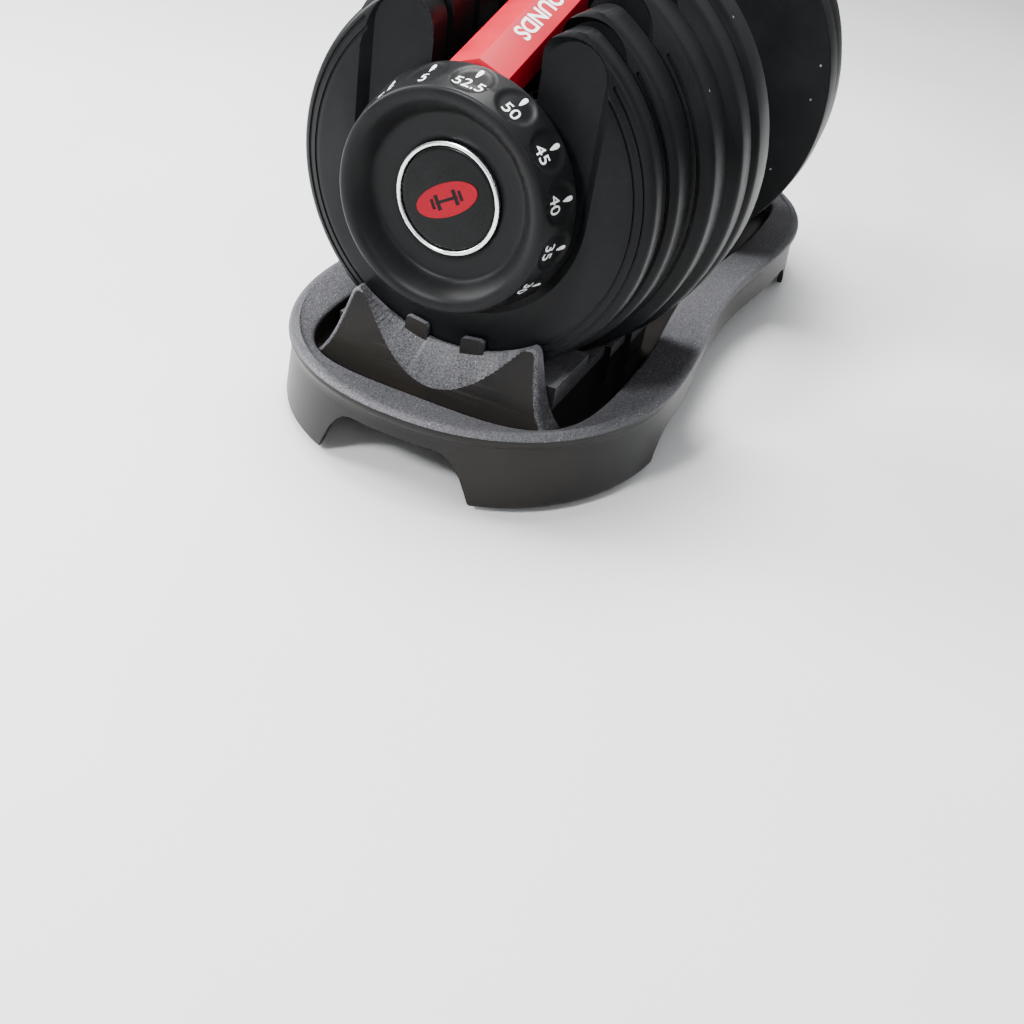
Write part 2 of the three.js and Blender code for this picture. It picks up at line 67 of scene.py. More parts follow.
class DumbbellSizes(bpy.types.PropertyGroup):
    """Sizes of the visible detail"""

    slot_half: FloatProperty(
        name="Slot half width", description="Half the width of the slot in each plate",
        default=0.024, unit="LENGTH")
    lobe: FloatProperty(
        name="Lobe radius", description="Radius of the rounded top beside the slot",
        default=0.013, unit="LENGTH")
    recess: FloatProperty(
        name="Recess depth", description="Depth of the sunk field on a plate's face",
        default=0.0038, unit="LENGTH")
    band_fall: FloatProperty(
        name="Band fall", description="How far a plate's outer band slopes back",
        default=0.0036, unit="LENGTH")
    scallop: FloatProperty(
        name="Scallop depth", description="Depth of each finger hollow on the dial",
        default=0.0011, unit="LENGTH")
    numeral: FloatProperty(
        name="Numeral height", description="Height of the numbers on the dial", default=0.0059, unit="LENGTH")
    first_mark: FloatProperty(
        name="First mark", description="Angle of the heaviest setting's mark from level, about the handle",
        default=math.radians(94), subtype="ANGLE")
    letter: FloatProperty(
        name="Letter height", description="Height of the lettering on the bridge covers",
        default=0.0078, unit="LENGTH")
    lettering: StringProperty(
        name="Lettering", description="Plain word printed on the bridge covers", default="POUNDS")
    grip_rib: FloatProperty(
        name="Rib height", description="Height of the fine ribs on the grip", default=0.0003, unit="LENGTH")
    turn_steps: IntProperty(
        name="Steps round", description="Steps in a full turn of a round piece", default=192, min=24)


class DumbbellColours(bpy.types.PropertyGroup):
    """Base colours of the finishes"""

    plate: FloatVectorProperty(
        name="Plate", description="Coated iron plates",
        size=3, subtype="COLOR", default=(0.0052, 0.0056, 0.0062))
    tray: FloatVectorProperty(
        name="Tray", description="Stippled tray plastic",
        size=3, subtype="COLOR", default=(0.021, 0.021, 0.023))
    dial: FloatVectorProperty(
        name="Dial", description="Dial plastic", size=3, subtype="COLOR", default=(0.0056, 0.0059, 0.0063))
    red: FloatVectorProperty(
        name="Red", description="Bridge covers and emblem",
        size=3, subtype="COLOR", default=(0.40, 0.004, 0.020))
    mark: FloatVectorProperty(
        name="Marks", description="Printed numbers and letters",
        size=3, subtype="COLOR", default=(0.86, 0.87, 0.88))
    steel: FloatVectorProperty(
        name="Steel", description="Plated steel", size=3, subtype="COLOR", default=(0.60, 0.61, 0.62))


# ---- Selecting and editing ---------------------------------------------------------------------


def alone(piece):
    """Deselects everything else and makes the piece active."""
    bpy.ops.object.select_all(action="DESELECT")
    piece.select_set(True)
    bpy.context.view_layer.objects.active = piece
    return piece


def start_edit(piece):
    alone(piece)
    bpy.ops.object.mode_set(mode="EDIT")


def edit_all(piece):
    """Opens a piece for editing with everything in it selected."""
    start_edit(piece)
    bpy.ops.mesh.select_all(action="SELECT")


def end_edit():
    bpy.ops.object.mode_set(mode="OBJECT")


def choose(piece, kind, test):
    """Selects the faces, edges or vertices of the edited piece that pass the test."""
    bpy.ops.mesh.select_mode(type={"verts": "VERT", "edges": "EDGE", "faces": "FACE"}[kind])
    bpy.ops.mesh.select_all(action="DESELECT")
    mesh = bmesh.from_edit_mesh(piece.data)
    for part in getattr(mesh, kind):
        if test(part):
            part.select_set(True)
    mesh.select_flush_mode()
    bmesh.update_edit_mesh(piece.data)


def clean(piece, distance=0.00001):
    """Merges doubles and turns every face outwards."""
    edit_all(piece)
    bpy.ops.mesh.remove_doubles(threshold=distance)
    bpy.ops.mesh.dissolve_degenerate(threshold=distance)
    bpy.ops.mesh.normals_make_consistent(inside=False)
    end_edit()


def triangulate(piece):
    edit_all(piece)
    bpy.ops.mesh.quads_convert_to_tris()
    end_edit()


def smooth(piece, degrees=32):
    alone(piece)
    bpy.ops.object.shade_smooth_by_angle(angle=math.radians(degrees))


def apply_modifier(piece, kind, **settings):
    alone(piece)
    modifier = piece.modifiers.new(kind.lower(), kind)
    for name, value in settings.items():
        setattr(modifier, name, value)
    bpy.ops.object.modifier_apply(modifier=modifier.name)


def rounded(piece, width, degrees=40, segments=3):
    """Rounds every edge sharper than the angle."""
    apply_modifier(
        piece, "BEVEL", width=width, segments=segments, limit_method="ANGLE",
        angle_limit=math.radians(degrees), miter_outer="MITER_ARC", use_clamp_overlap=True)


def carve(piece, cutter, operation="DIFFERENCE"):
    """Cuts one piece with another, or adds it, and removes the cutter."""
    apply_modifier(piece, "BOOLEAN", object=cutter, operation=operation, solver="EXACT")
    bpy.data.objects.remove(cutter)


def merged(pieces):
    """Joins several objects into the first."""
    alone(pieces[0])
    for piece in pieces[1:]:
        piece.select_set(True)
    bpy.ops.object.join()
    return pieces[0]


def named(piece, name):
    piece.name = name
    piece.data.name = name
    return piece


def as_other_end(piece, name):
    """A copy with its own mesh, turned half a turn about the upright axis."""
    other = piece.copy()
    other.data = piece.data.copy()
    bpy.context.scene.collection.objects.link(other)
    other.data.transform(Matrix.Rotation(math.pi, 4, "Z"))
    return named(other, name)


def place(piece, body, finish, slot, *replaced):
    """Gives a finished piece its body and material and hides the frame nodes it stands for; its slot is not
    used.
    """
    piece.data.materials.clear()
    piece.data.materials.append(finish)
    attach(piece, body)
    if replaced:
        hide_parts(*replaced)


def place_both_ends(left, stem, body, finish, slot, node=None):
    """Names and places a piece of the left end, then its copy for the right end.

    A body that each end has its own of is given with {} for the side.
    """
    named(left, f"left_{stem}")
    right = as_other_end(left, f"right_{stem}")
    for side, piece in zip(SIDES, (left, right)):
        replaced = [f"{side}_{node}"] if node else []
        place(piece, body.format(side), finish_for(finish), slot, *replaced)


# ---- Starting shapes ---------------------------------------------------------------------------


def arc(cx, cy, radius, start, end, steps):
    return [
        (cx + radius * math.cos(start + (end - start) * i / steps),
         cy + radius * math.sin(start + (end - start) * i / steps))
        for i in range(steps + 1)]


def prism(name, near_outline, near, far_outline, far):
    """A solid between two outlines in (y, z) about the handle axis, at two distances along -X."""
    count = len(near_outline)
    bpy.ops.mesh.primitive_cylinder_add(vertices=count, radius=0.05, depth=0.1, end_fill_type="NGON")
    piece = named(bpy.context.object, name)
    for i in range(count):
        for index, (y, z), x in ((2 * i, near_outline[i], near), (2 * i + 1, far_outline[i], far)):
            piece.data.vertices[index].co = (-x * MM, y * MM, AXIS_Z + z * MM)
    clean(piece)
    return piece


def slab(name, outline, near, far):
    return prism(name, outline, near, outline, far)


def turned(name, profile, steps):
    """A closed profile of (radius, distance along -X) in millimetres spun about the handle axis."""
    bpy.ops.mesh.primitive_circle_add(vertices=len(profile), radius=0.05, fill_type="NOTHING")
    piece = named(bpy.context.object, name)
    for vertex, (radius, reach) in zip(piece.data.vertices, profile):
        vertex.co = (-reach * MM, 0, AXIS_Z + radius * MM)
    edit_all(piece)
    bpy.ops.mesh.spin(steps=steps, angle=TURN, center=(0, 0, AXIS_Z), axis=(1, 0, 0))
    end_edit()
    clean(piece)
    return piece


def flipped(points):
    """The same points on the other side of the middle, in the opposite order."""
    return [(-y, z) for y, z in reversed(points)]


def symmetric(right):
    """A closed outline from its right half, given from the foot up."""
    left = flipped(right)
    return left[-1:] + right + left[:-1]


def softened(node, width, degrees=35, segments=3):
    """A clean copy of a frame node with its edges rounded."""
    source = NODES[node]
    piece = source.copy()
    piece.data = source.data.copy()
    bpy.context.scene.collection.objects.link(piece)
    piece.parent = None
    for key in list(piece.keys()):
        del piece[key]
    piece.matrix_world = Matrix.Identity(4)
    named(piece, node + "_finished")
    edit_all(piece)
    bpy.ops.mesh.remove_doubles(threshold=0.00001)
    bpy.ops.mesh.dissolve_limited(angle_limit=math.radians(2))
    end_edit()
    rounded(piece, width, degrees, segments)
    smooth(piece)
    return piece


# ---- Finishes ----------------------------------------------------------------------------------


class Finish:
    """A principled material with a few lines of shorthand for its nodes."""

    def __init__(self, name, **surface):
        self.material = bpy.data.materials.new(name)
        self.material.use_nodes = True
        self.tree = self.material.node_tree
        self.shader = self.tree.nodes["Principled BSDF"]
        self.where = self.node("ShaderNodeTexCoord").outputs["Object"]
        for socket, value in surface.items():
            self.shader.inputs[socket.replace("_", " ")].default_value = value

    def node(self, kind, inputs=None, **settings):
        made = self.tree.nodes.new(kind)
        for setting, value in settings.items():
            setattr(made, setting, value)
        for socket, value in (inputs or {}).items():
            if isinstance(value, bpy.types.NodeSocket):
                self.tree.links.new(value, made.inputs[socket])
            else:
                made.inputs[socket].default_value = value
        return made

    def stretched(self, x=1, y=1, z=1):
        return self.node("ShaderNodeMapping", {"Vector": self.where, "Scale": (x, y, z)}).outputs[0]

    def noise(self, size, detail=3, rough=0.55, where=None):
        return self.node("ShaderNodeTexNoise", {
            "Vector": where or self.where, "Scale": 1 / size, "Detail": detail, "Roughness": rough,
        }).outputs["Fac"]

    def cells(self, size, output="Distance"):
        return self.node(
            "ShaderNodeTexVoronoi", {"Vector": self.where, "Scale": 1 / size}).outputs[output]

    def ramp(self, value, low, high, start=0.0, end=1.0):
        return self.node("ShaderNodeMapRange", {
            "Value": value, "From Min": low, "From Max": high, "To Min": start, "To Max": end,
        }).outputs[0]

    def sum(self, a, b, operation="ADD"):
        return self.node("ShaderNodeMath", {0: a, 1: b}, operation=operation).outputs[0]

    def mix(self, amount, a, b):
        made = self.node("ShaderNodeMix", data_type="RGBA")
        for index, value in ((0, amount), (6, a), (7, b)):
            if isinstance(value, bpy.types.NodeSocket):
                self.tree.links.new(value, made.inputs[index])
            else:
                made.inputs[index].default_value = value if index == 0 else tuple(value)[:3] + (1,)
        return made.outputs[2]

    def tinted(self, value, colour, dark, light, low=0.3, high=0.7):
        """A colour that runs from a darker to a lighter tint of itself with a pattern."""
        return self.mix(self.ramp(value, low, high), times(colour, dark), times(colour, light))

    def edges(self):
        """1 on the outer edges of the mesh, 0 elsewhere."""
        return self.ramp(self.node("ShaderNodeNewGeometry").outputs["Pointiness"], 0.51, 0.58)

    def facing(self, axis):
        """How far the surface faces along one axis of the object."""
        normal = self.node("ShaderNodeNewGeometry").outputs["True Normal"]
        return self.node("ShaderNodeSeparateXYZ", {0: normal}).outputs[axis]

    def colour(self, value):
        self.tree.links.new(value, self.shader.inputs["Base Color"])

    def roughness(self, value):
        self.tree.links.new(value, self.shader.inputs["Roughness"])

    def bump(self, height, distance, strength=1.0, under=None):
        inputs = {"Height": height, "Distance": distance, "Strength": strength}
        if under is not None:
            inputs["Normal"] = under
        normal = self.node("ShaderNodeBump", inputs).outputs[0]
        self.tree.links.new(normal, self.shader.inputs["Normal"])
        return normal


def times(colour, factor):
    return tuple(min(channel * factor, 1.0) for channel in colour[:3])


def specks(finish, size, share):
    """Scattered dots: 1 inside a dot, 0 elsewhere. share is the part of the cells that have one."""
    distance = finish.cells(size)
    chance = finish.node(
        "ShaderNodeSeparateColor", {0: finish.cells(size, "Color")}).outputs[0]
    dot = finish.ramp(distance, 0.20, 0.12)
    kept = finish.ramp(chance, 1 - share, 1 - share + 0.002)
    return finish.sum(dot, kept, "MULTIPLY")


def coated_iron(colour):
    finish = Finish("coated_iron", Specular_IOR_Level=0.10)
    cloud = finish.noise(0.035, 4, 0.6)
    grain = finish.noise(0.0009, 3)
    dust = specks(finish, 0.0036, 0.012)
    base = finish.tinted(cloud, colour, 0.8, 1.35, 0.35, 0.68)
    finish.colour(finish.mix(finish.sum(dust, 0.5, "MULTIPLY"), base, (0.45, 0.46, 0.47)))
    worked = finish.sum(cloud, finish.sum(grain, 0.25, "MULTIPLY"))
    finish.roughness(finish.ramp(worked, 0.4, 0.9, 0.32, 0.44))
    first = finish.bump(finish.noise(0.004, 2), 0.00012, 0.35)
    finish.bump(grain, 0.00006, 0.5, first)
    return finish.material


def stippled_plastic(colour):
    """Stippled grey on the lip, rim and dial seats, smooth and brownish on the skirt and in the recess. The
    up-facing grey is made several times lighter as painted light, with painted glints and partly painted
    highlights on its edges, and the skirt and recess are made darker as painted shade.
    """
    finish = Finish("stippled_plastic", Specular_IOR_Level=0.18)
    cloud = finish.noise(0.05, 3, 0.6)
    pits = finish.cells(0.0013)
    fine = finish.noise(0.0009, 4, 0.75)
    height = finish.node("ShaderNodeSeparateXYZ", {0: finish.where}).outputs[2]
    # The mask below picks surfaces over about 34 mm high that face up, and sides facing ±Y above about 40 mm:
    # partly the stippled zone, partly painted light where the lamps fall.
    sideways = finish.sum(finish.facing(1), 0, "ABSOLUTE")
    sideways = finish.sum(sideways, finish.ramp(height, 0.038, 0.042), "MULTIPLY")
    stipple_and_lit_top = finish.sum(
        finish.ramp(height, 0.0325, 0.0365), finish.ramp(finish.sum(finish.facing(2), sideways), 0.33, 0.43),
        "MULTIPLY")
    # On the mask the colour is several times lighter, as painted light; off it the skirt and recess get a
    # darker brown, as painted shade over a brownish plastic.
    brown_with_painted_shade = finish.mix(finish.ramp(cloud, 0.3, 0.7), times(colour, 0.32), (0.013, 0.0112, 0.0092))
    grey_with_painted_light = finish.tinted(fine, colour, 1.1, 4.6, 0.40, 0.62)
    base = finish.mix(stipple_and_lit_top, brown_with_painted_shade, grey_with_painted_light)
    # Light specks kept only on the lit mask are painted glints.
    painted_glints = finish.sum(specks(finish, 0.0017, 0.16), stipple_and_lit_top, "MULTIPLY")
    base = finish.mix(finish.sum(painted_glints, 0.6, "MULTIPLY"), base, (0.40, 0.41, 0.43))
    # Rounded edges on the lit mask are lightened: partly edge wear, partly painted highlight.
    wear_and_highlight = finish.sum(finish.edges(), finish.sum(stipple_and_lit_top, 0.5, "MULTIPLY"), "MULTIPLY")
    finish.colour(finish.mix(wear_and_highlight, base, times(colour, 7.0)))
    rough = finish.ramp(fine, 0.3, 0.7, 0.42, 0.58)
    finish.roughness(finish.node("ShaderNodeMix", {0: stipple_and_lit_top, 2: 0.36, 3: rough}).outputs[0])
    depth = finish.sum(finish.ramp(pits, 0, 0.6), finish.ramp(stipple_and_lit_top, 0, 1, 0.15, 1), "MULTIPLY")
    first = finish.bump(depth, 0.00022, 0.6)
    finish.bump(fine, 0.0001, 0.45, first)
    return finish.material


def satin_plastic(name, colour, rough=(0.34, 0.46), grain_size=0.0006, grain_depth=0.00004, dust=0.012):
    finish = Finish(name, Specular_IOR_Level=0.11)
    cloud = finish.noise(0.02, 3)
    grain = finish.noise(grain_size, 3)
    base = finish.tinted(cloud, colour, 0.85, 1.2)
    base = finish.mix(finish.sum(specks(finish, 0.0034, dust), 0.5, "MULTIPLY"), base, (0.4, 0.41, 0.42))
    finish.colour(base)
    finish.roughness(finish.ramp(finish.sum(cloud, finish.sum(grain, 0.3, "MULTIPLY")), 0.4, 0.9, *rough))
    finish.bump(grain, grain_depth, 0.6)
    return finish.material


def gloss_cap(colour):
    finish = Finish("gloss_cap", Specular_IOR_Level=0.10, Coat_Weight=0.02, Coat_Roughness=0.1)
    cloud = finish.noise(0.012, 3)
    scratches = finish.noise(0.0011, 2, 0.5, finish.stretched(1, 14, 1))
    finish.colour(finish.tinted(cloud, colour, 0.5, 0.8))
    finish.roughness(finish.ramp(scratches, 0.35, 0.75, 0.22, 0.36))
    finish.bump(scratches, 0.00002, 0.25)
    return finish.material


def painted_red(colour):
    finish = Finish("painted_red", Specular_IOR_Level=0.12)
    cloud = finish.noise(0.03, 3)
    peel = finish.noise(0.0016, 2, 0.5)
    finish.colour(finish.tinted(cloud, colour, 0.86, 1.1))
    finish.roughness(finish.ramp(cloud, 0.3, 0.7, 0.38, 0.48))
    finish.bump(peel, 0.00005, 0.4)
    return finish.material


def printed(name, colour, gloss=0.5):
    finish = Finish(name, Specular_IOR_Level=gloss)
    ink = finish.noise(0.0012, 3)
    finish.colour(finish.tinted(ink, colour, 0.88, 1.0, 0.35))
    finish.roughness(finish.ramp(ink, 0.3, 0.7, 0.35, 0.5))
    finish.bump(ink, 0.00002, 0.3)
    return finish.material


def bright_trim(colour):
    finish = Finish("bright_trim", Metallic=1.0)
    turn_marks = finish.noise(0.0012, 3, 0.5, finish.stretched(6, 1, 1))
    finish.colour(finish.tinted(turn_marks, colour, 1.42, 1.55))
    finish.roughness(finish.ramp(turn_marks, 0.3, 0.7, 0.20, 0.30))
    finish.bump(turn_marks, 0.00001, 0.3)
    return finish.material


def plated_steel(colour):
    finish = Finish("plated_steel", Metallic=1.0)
    lathe = finish.noise(0.0010, 3, 0.55, finish.stretched(8, 1, 1))
    cloud = finish.noise(0.012, 3)
    finish.colour(finish.tinted(cloud, colour, 0.75, 1.1))
    finish.roughness(finish.ramp(finish.sum(lathe, cloud), 0.7, 1.3, 0.24, 0.42))
    finish.bump(lathe, 0.00002, 0.5)
    return finish.material


def soft_rubber(name, grain_size=0.0007):
    finish = Finish(name, Specular_IOR_Level=0.35)
    cloud = finish.noise(0.01, 3)
    grain = finish.noise(grain_size, 4, 0.65)
    finish.colour(finish.mix(finish.ramp(cloud, 0.3, 0.7), (0.010, 0.010, 0.011), (0.024, 0.024, 0.026)))
    finish.roughness(finish.ramp(grain, 0.3, 0.7, 0.66, 0.84))
    finish.bump(grain, 0.00009, 0.6)
    return finish.material


def studio_floor():
    finish = Finish("studio_floor")
    tone = finish.noise(0.35, 3)
    finish.colour(finish.mix(finish.ramp(tone, 0.3, 0.7), (0.60, 0.605, 0.61), (0.66, 0.663, 0.667)))
    finish.roughness(finish.ramp(tone, 0.3, 0.7, 0.72, 0.8))
    finish.bump(finish.noise(0.002, 3), 0.00005, 0.2)
    return finish.material


FINISHES = {}


def finish_for(name):
    """Each finish is made once, from the colours in the scene."""
    if name not in FINISHES:
        colours = bpy.context.scene.dumbbell_colours
        makers = {
            "plate": lambda: coated_iron(colours.plate),
            "tray": lambda: stippled_plastic(colours.tray),
            "dial": lambda: satin_plastic("dial_plastic", colours.dial),
            "nylon": lambda: satin_plastic(
                "moulded_nylon", times(colours.dial, 1.4), (0.42, 0.58), 0.0009, 0.00008, 0.01),
            "cap": lambda: gloss_cap(colours.dial),
            "red": lambda: painted_red(colours.red),
            "emblem": lambda: printed("emblem_red", times(colours.red, 0.62), 0.1),
            "mark": lambda: printed("white_print", colours.mark),
            "trim": lambda: bright_trim(colours.steel),
            "steel": lambda: plated_steel(colours.steel),
            "grip": lambda: soft_rubber("grip_rubber"),
            "foot": lambda: soft_rubber("foot_rubber", 0.0011),
            "floor": studio_floor,
        }
        FINISHES[name] = makers[name]()
    return FINISHES[name]


# ---- Plates ------------------------------------------------------------------------------------

# Grooves on a plate's band, as distances in from its rim.
GROOVES = {"a": (4.0, 7.8), "b": (4.0, 7.8), "c": (6.5,), "d": (), "e": ()}
BAND = {"a": 11.0, "b": 11.0, "c": 11.0, "d": 6.0, "e": 6.0}
GROOVE_HALF = 0.75
GROOVE_DEPTH = 0.9
GROOVE_TOP = math.radians(45)
GROOVE_FOOT = math.radians(-52)


def lobe_height(radius, sizes):
    across = (sizes.slot_half + sizes.lobe) / MM
    return math.sqrt((radius - sizes.lobe / MM) ** 2 - across ** 2)


def slot_cutter(radius, near, far, sizes):
    """The space between the lobes: a round-bottomed slot that opens over the rounded lobe tops."""
    half = sizes.slot_half / MM
    lobe = sizes.lobe / MM
    height = lobe_height(radius, sizes)
    tilt = math.atan2(height, half + lobe)
    right = arc(half + lobe, height, lobe, math.pi, tilt + 0.06, 16)
    end = right[-1]
    right += [(end[0] + 3, end[1] + 8), (end[0] + 3, radius + 20)]
    bottom = arc(0, 0, half, math.pi, TURN, 36)[1:-1]
    outline = flipped(right) + [(-half, 0)] + bottom + [(half, 0)] + right
    return slab("slot", outline, near - 4, far + 4)


def recess_cutter(radius, far, depth, sizes):
    """The sunk field of a plate's face, with sloping walls."""
    across, corner = 38, 13.5

    def outline(grow):
        height = lobe_height(radius, sizes) - 4.3
        right = arc(across, height, corner + grow, 0, math.pi * 0.98, 20)
        below = arc(0, 0, across + corner + grow, math.pi, TURN, 60)
        return right + [(20, height - 6), (-20, height - 6)] + flipped(right) + below
    return prism("recess", outline(0), far - depth, outline(depth * 0.9 + 2.2), far + 1.6)


def groove_cutters(radius, distances, far, band, fall):
    """Two short arcs cut into the band at each distance, following its slope."""
    cutters = []
    for inwards in distances:
        middle = radius - inwards
        for start, end in ((GROOVE_FOOT, GROOVE_TOP), (math.pi - GROOVE_TOP, math.pi - GROOVE_FOOT)):
            outer = arc(0, 0, middle + GROOVE_HALF, start, end, 48)
            inner = arc(0, 0, middle - GROOVE_HALF, end, start, 48)
            tip = (middle * math.cos(end), middle * math.sin(end))
            tail = (middle * math.cos(start), middle * math.sin(start))
            outline = outer + arc(*tip, GROOVE_HALF, end, end + math.pi, 8)[1:-1]
            outline += inner + arc(*tail, GROOVE_HALF, start + math.pi, start + TURN, 8)[1:-1]
            surface = far - fall * (band - inwards) / band
            cutters.append(slab("groove", outline, surface - GROOVE_DEPTH, far + 2))
    return cutters


def weight_plate(letter, sizes):
    low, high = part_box(f"left_plate_{letter}")
    near, far = -high.x / MM, -low.x / MM
    radius = (high.y - low.y) / 2 / MM
    band = BAND[letter]
    bpy.ops.mesh.primitive_cylinder_add(
        vertices=sizes.turn_steps, radius=radius * MM, depth=(far - near) * MM, end_fill_type="NGON",
        location=(-(near + far) / 2 * MM, 0, AXIS_Z), rotation=(0, math.pi / 2, 0))
    piece = named(bpy.context.object, f"left_plate_{letter}_disc")
    bpy.ops.object.transform_apply(location=True, rotation=True, scale=True)
    outside = -far * MM
    rim = outside + sizes.band_fall

    def on_rim(vertex, x):
        off_axis = Vector((vertex.co.y, vertex.co.z - AXIS_Z)).length
        return abs(vertex.co.x - x) < 1e-6 and off_axis > (radius - 1) * MM

    start_edit(piece)
    choose(piece, "faces", lambda f: f.normal.x < -0.9)
    bpy.ops.mesh.inset(thickness=band * MM)
    choose(piece, "verts", lambda v: on_rim(v, outside))
    bpy.ops.transform.translate(value=(sizes.band_fall, 0, 0))
    choose(piece, "edges", lambda e: all(on_rim(v, rim) for v in e.verts))
    bpy.ops.mesh.bevel(offset=0.0022, segments=4, profile=0.5, affect="EDGES")
    choose(piece, "edges", lambda e: all(on_rim(v, -near * MM) for v in e.verts))
    bpy.ops.mesh.bevel(offset=0.0012, segments=3, profile=0.5, affect="EDGES")
    end_edit()
    carve(piece, slot_cutter(radius, near, far, sizes))
    rounded(piece, 0.0013, 48, 3)
    cutters = [recess_cutter(radius, far, sizes.recess / MM, sizes)]
    cutters += groove_cutters(radius, GROOVES[letter], far, band, sizes.band_fall / MM)
    for cutter in cutters:
        carve(piece, cutter)
    clean(piece, 0.000002)
    smooth(piece, 30)
    return piece


class DUMBBELL_OT_plates(bpy.types.Operator):
    """Ten slotted plates, each with a sloping band and a sunk field, and grooves on the bands of the three
    largest
    """

    bl_idname = "dumbbell.plates"
    bl_label = "Weight Plates"

    def execute(self, context):
        sizes = context.scene.dumbbell_sizes
        for letter in "abcde":
            node = f"plate_{letter}"
            slot = "clad_iron_plate" if letter in "abc" else "light_plate"
            place_both_ends(
                weight_plate(letter, sizes), f"{node}_disc", "{}_" + node, "plate", slot, node)
        return {"FINISHED"}


# ---- Dials -------------------------------------------------------------------------------------

# Outer band of the dial as (distance from the middle, radius), back to front.
BAND_LINE = ((178.0, 51.7), (191.0, 49.2), (198.6, 46.8))
SCALLOP_HALF = 8.8
SCALLOP_MIDDLE = 188.2
SCALLOP_LENGTH = 9.6
# Where the marks lie, as distances from the middle, and how far they stand out.
NUMBER_REACH = 191.2
POINTER_REACH = 183.0
PROUD = 0.10


def band_radius(reach):
    for (r0, w0), (r1, w1) in zip(BAND_LINE, BAND_LINE[1:]):
        if reach <= r1:
            return w0 + (w1 - w0) * (reach - r0) / (r1 - r0)
    return BAND_LINE[-1][1]


def scallop_depth(reach, angle, sizes):
    """Depth of the finger hollows at a place on the band, with soft edges."""
    step = TURN / len(SETTINGS)
    offset = (angle - sizes.first_mark + step / 2) % step - step / 2
    across = offset * band_radius(reach) / SCALLOP_HALF
    along = (reach - SCALLOP_MIDDLE) / SCALLOP_LENGTH
    inside = min(max(1 - across * across - along * along, 0) * 1.7, 1)
    return (1 - (1 - inside) ** 2) * sizes.scallop / MM


def dial_profile():
    band = [(band_radius(178 + 20.4 * i / 34), 178 + 20.4 * i / 34) for i in range(35)]
    band[0] = (band[0][0] - 0.5, 178.0)
    band.insert(1, (band_radius(178.3), 178.4))
    lip = [(46.75, 198.9), (46.3, 199.4), (45.6, 199.75), (44.7, 199.95), (43.8, 200.0), (42.8, 199.85),
           (41.8, 199.45), (40.9, 198.85)]
    dish = [(40.0, 198.0), (38.8, 196.6), (37.7, 195.1), (36.7, 193.5), (35.9, 192.0), (35.1, 190.9),
            (34.2, 190.25), (33.0, 190.0), (28.0, 189.95), (24.4, 189.9)]
    seat = [(24.0, 189.6), (24.0, 188.9), (21.7, 188.9), (21.7, 188.5), (17.4, 188.5), (17.4, 181.6),
            (12.3, 181.6), (12.3, 178.0), (19.0, 178.0), (19.0, 186.0), (43.0, 186.0), (45.5, 178.5)]
    return band + lip + dish + seat


def dial_body(sizes):
    piece = turned("left_dial_body", dial_profile(), 24 * len(SETTINGS))
    for vertex in piece.data.vertices:
        reach = -vertex.co.x / MM
        y, z = vertex.co.y / MM, (vertex.co.z - AXIS_Z) / MM
        radius = math.hypot(y, z)
        if radius > band_radius(min(reach, 198.6)) - 0.8 and reach > 177.9:
            depth = scallop_depth(reach, math.atan2(z, y), sizes)
            scale = (radius - depth) / radius
            vertex.co.y = y * scale * MM
            vertex.co.z = AXIS_Z + z * scale * MM
    smooth(piece, 40)
    return piece


def wrapped(piece, angle, reach, sizes):
    """Lays a flat mark, drawn with its top along +Y and its thickness along Z, on the dial's band."""
    for vertex in piece.data.vertices:
        across, up, height = vertex.co / MM
        at = reach - up
        turn = angle + across / band_radius(at)
        radius = band_radius(at) - scallop_depth(at, turn, sizes) + PROUD + height
        vertex.co = (-at * MM, radius * math.cos(turn) * MM, AXIS_Z + radius * math.sin(turn) * MM)


def letters(body, height, thickness, weight=0.0):
    """A word as a closed mesh lying flat about the origin, its top along +Y."""
    bpy.ops.object.text_add(location=(0, 0, 0))
    text = bpy.context.object
    text.data.body = body
    text.data.align_x = "CENTER"
    text.data.align_y = "CENTER"
    text.data.size = height * 1.38
    text.data.extrude = thickness / 2
    text.data.offset = weight
    text.data.resolution_u = 6
    bpy.ops.object.convert(target="MESH")
    piece = bpy.context.object
    edit_all(piece)
    bpy.ops.mesh.remove_doubles(threshold=0.000004)
    bpy.ops.mesh.normals_make_consistent(inside=False)
    end_edit()
    xs = [v.co.x for v in piece.data.vertices]
    ys = [v.co.y for v in piece.data.vertices]
    middle = Vector(((min(xs) + max(xs)) / 2, (min(ys) + max(ys)) / 2, 0))
    piece.data.transform(Matrix.Translation(-middle))
    return piece


def sliced(piece, step, normal, reach):
    """Cuts a flat mark into strips so that it can follow a curved surface."""
    start_edit(piece)
    at = -reach
    while at <= reach:
        bpy.ops.mesh.select_all(action="SELECT")
        bpy.ops.mesh.bisect(plane_co=Vector(normal) * at, plane_no=normal)
        at += step
    end_edit()


def pointer_mark():
    """A teardrop with its wide end up."""
    bpy.ops.mesh.primitive_circle_add(vertices=32, radius=0.001, fill_type="NGON")
    piece = bpy.context.object
    for i, vertex in enumerate(piece.data.vertices):
        turn = TURN * i / 32
        up = math.sin(turn)
        width = 0.42 + 0.98 * (up + 1) / 2
        side = math.copysign(abs(math.cos(turn)) ** 0.7, math.cos(turn))
        vertex.co = (side * width * MM, up * 3.0 * MM, -0.05 * MM)
    edit_all(piece)
    bpy.ops.mesh.extrude_region_move(TRANSFORM_OT_translate={"value": (0, 0, 0.1 * MM)})
    bpy.ops.mesh.select_all(action="SELECT")
    bpy.ops.mesh.normals_make_consistent(inside=False)
    end_edit()
    return piece


class DUMBBELL_OT_dials(bpy.types.Operator):
    """Two dials with finger hollows, a rounded lip and a dished front"""

    bl_idname = "dumbbell.dials"
    bl_label = "Dials"

    def execute(self, context):
        left = dial_body(context.scene.dumbbell_sizes)
        place_both_ends(left, "dial_body", "{}_dial", "dial", "dial_plastic", "dial")
        return {"FINISHED"}


